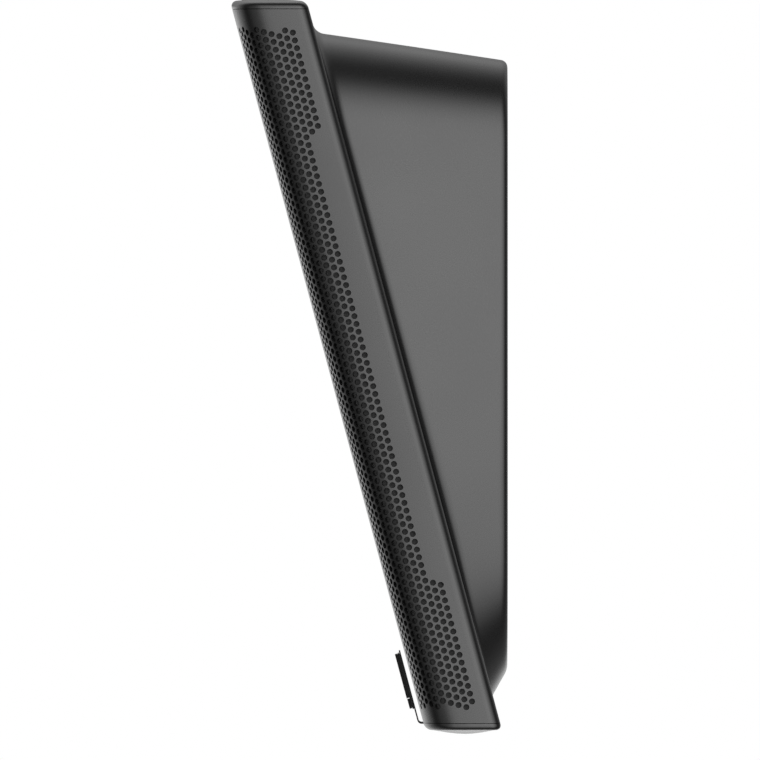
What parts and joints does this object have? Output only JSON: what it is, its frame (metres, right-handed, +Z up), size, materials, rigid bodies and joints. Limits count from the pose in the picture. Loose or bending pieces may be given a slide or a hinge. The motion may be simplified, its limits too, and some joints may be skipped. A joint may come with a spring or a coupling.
{
  "type": "wall-mounted smart display",
  "caption": "Landscape smart display that leans out from the wall on a hollow wedge, with perforated speaker sides, bowed end caps, top buttons and a hang-on steel wall plate.",
  "frame": {"origin": "centre of the wall plate's back face, in the plane of the wall", "axes": "+Y into the wall, +Z up, +X to the right of somebody who faces the screen; the screen faces -Y and 15 degrees downwards"},
  "size_m": [0.36, 0.0843, 0.2245],
  "materials": {
    "shell": "satin charcoal",
    "cap": "satin charcoal",
    "screen_glass": "polished black",
    "lens_glass": "polished dark",
    "lcd": "dark polariser",
    "diffuser": "white sheet",
    "foam": "closed-cell foam",
    "aluminium": "plain pressed",
    "steel": "plated",
    "dark_steel": "black coated",
    "circuit_board": "solder mask",
    "plain_black": "plain black",
    "cable_rubber": "cable sheath",
    "cone_rubber": "matt diaphragm",
    "ribbon": "amber film"
  },
  "bodies": {
    "wall_side": {"wall_plate": "dark_steel"},
    "display": {"back_screw_1": "steel", "back_screw_2": "steel", "back_screw_3": "steel", "back_screw_4": "steel", "backlight_unit": "diffuser", "board_screw_1": "steel", "board_screw_2": "steel", "board_screw_3": "steel", "board_screw_4": "steel", "bottom_cap": "cap", "button_board": "circuit_board", "camera_lens": "lens_glass", "camera_module": "plain_black", "capacitor_1": "plain_black", "capacitor_2": "plain_black", "chassis": "aluminium", "display_gasket": "foam", "ethernet_jack": "steel", "front_glass": "screen_glass", "heat_sink": "aluminium", "lcd_driver_board": "circuit_board", "lcd_panel": "lcd", "lcd_ribbon": "ribbon", "main_board": "circuit_board", "microphone_board": "circuit_board", "power_board": "circuit_board", "power_socket": "plain_black", "radio_shield": "steel", "rear_housing": "shell", "side_grille_left": "shell", "side_grille_right": "shell", "socket_board": "circuit_board", "speaker_box_left": "plain_black", "speaker_box_right": "plain_black", "speaker_lead_left": "cable_rubber", "speaker_lead_right": "cable_rubber", "top_cap": "cap", "transformer": "plain_black", "tweeter_frame_left": "dark_steel", "tweeter_frame_right": "dark_steel", "usb_socket": "steel", "wifi_antenna_left": "ribbon", "wifi_antenna_right": "ribbon", "woofer_frame_left": "dark_steel", "woofer_frame_right": "dark_steel"},
    "hold_down": {"hold_down_slider": "plain_black"},
    "volume_up": {"volume_up_button": "cap"},
    "volume_down": {"volume_down_button": "cap"},
    "mute": {"mute_button": "cap"},
    "shutter": {"camera_shutter": "plain_black"},
    "tab": {"tab_strip": "dark_steel", "tab_board": "circuit_board", "tab_cover": "cap", "tab_plug": "plain_black"},
    "woofer_left": {"woofer_cone_left": "cone_rubber"},
    "woofer_right": {"woofer_cone_right": "cone_rubber"},
    "tweeter_left": {"tweeter_cone_left": "cone_rubber"},
    "tweeter_right": {"tweeter_cone_right": "cone_rubber"}
  },
  "joints": [
    {"name": "hang_slide", "type": "slide", "parent": "wall_side", "child": "display", "axis": [0, 0, 1], "range_m": [0, 0.006]},
    {"name": "hold_down_slide", "type": "slide", "parent": "display", "child": "hold_down", "axis": [0, 0, -1], "range_m": [0, 0.006], "stiffness_N_per_m": 150},
    {"name": "volume_up_press", "type": "slide", "parent": "display", "child": "volume_up", "axis": [0, 0, -1], "range_m": [0, 0.0005], "stiffness_N_per_m": 2000},
    {"name": "volume_down_press", "type": "slide", "parent": "display", "child": "volume_down", "axis": [0, 0, -1], "range_m": [0, 0.0005], "stiffness_N_per_m": 2000},
    {"name": "mute_press", "type": "slide", "parent": "display", "child": "mute", "axis": [0, 0, -1], "range_m": [0, 0.0005], "stiffness_N_per_m": 2000},
    {"name": "shutter_slide", "type": "slide", "parent": "display", "child": "shutter", "axis": [-1, 0, 0], "range_m": [0, 0.009]},
    {"name": "tab_flex", "type": "hinge", "parent": "display", "child": "tab", "pos_m": [0.128, -0.02598, -0.10675], "axis": [1, 0, 0], "range_deg": [-2.5, 4], "stiffness_Nm_per_rad": 0.5},
    {"name": "woofer_left_travel", "type": "slide", "parent": "display", "child": "woofer_left", "axis": [-1, 0, 0], "range_m": [-0.0009, 0.0009], "stiffness_N_per_m": 2000},
    {"name": "woofer_right_travel", "type": "slide", "parent": "display", "child": "woofer_right", "axis": [1, 0, 0], "range_m": [-0.0009, 0.0009], "stiffness_N_per_m": 2000},
    {"name": "tweeter_left_travel", "type": "slide", "parent": "display", "child": "tweeter_left", "axis": [-1, 0, 0], "range_m": [-0.0003, 0.0003], "stiffness_N_per_m": 3000},
    {"name": "tweeter_right_travel", "type": "slide", "parent": "display", "child": "tweeter_right", "axis": [1, 0, 0], "range_m": [-0.0003, 0.0003], "stiffness_N_per_m": 3000}
  ],
  "couplings": [
    {"joint": "hold_down_slide", "follows": "hang_slide", "ratio": 1}
  ]
}
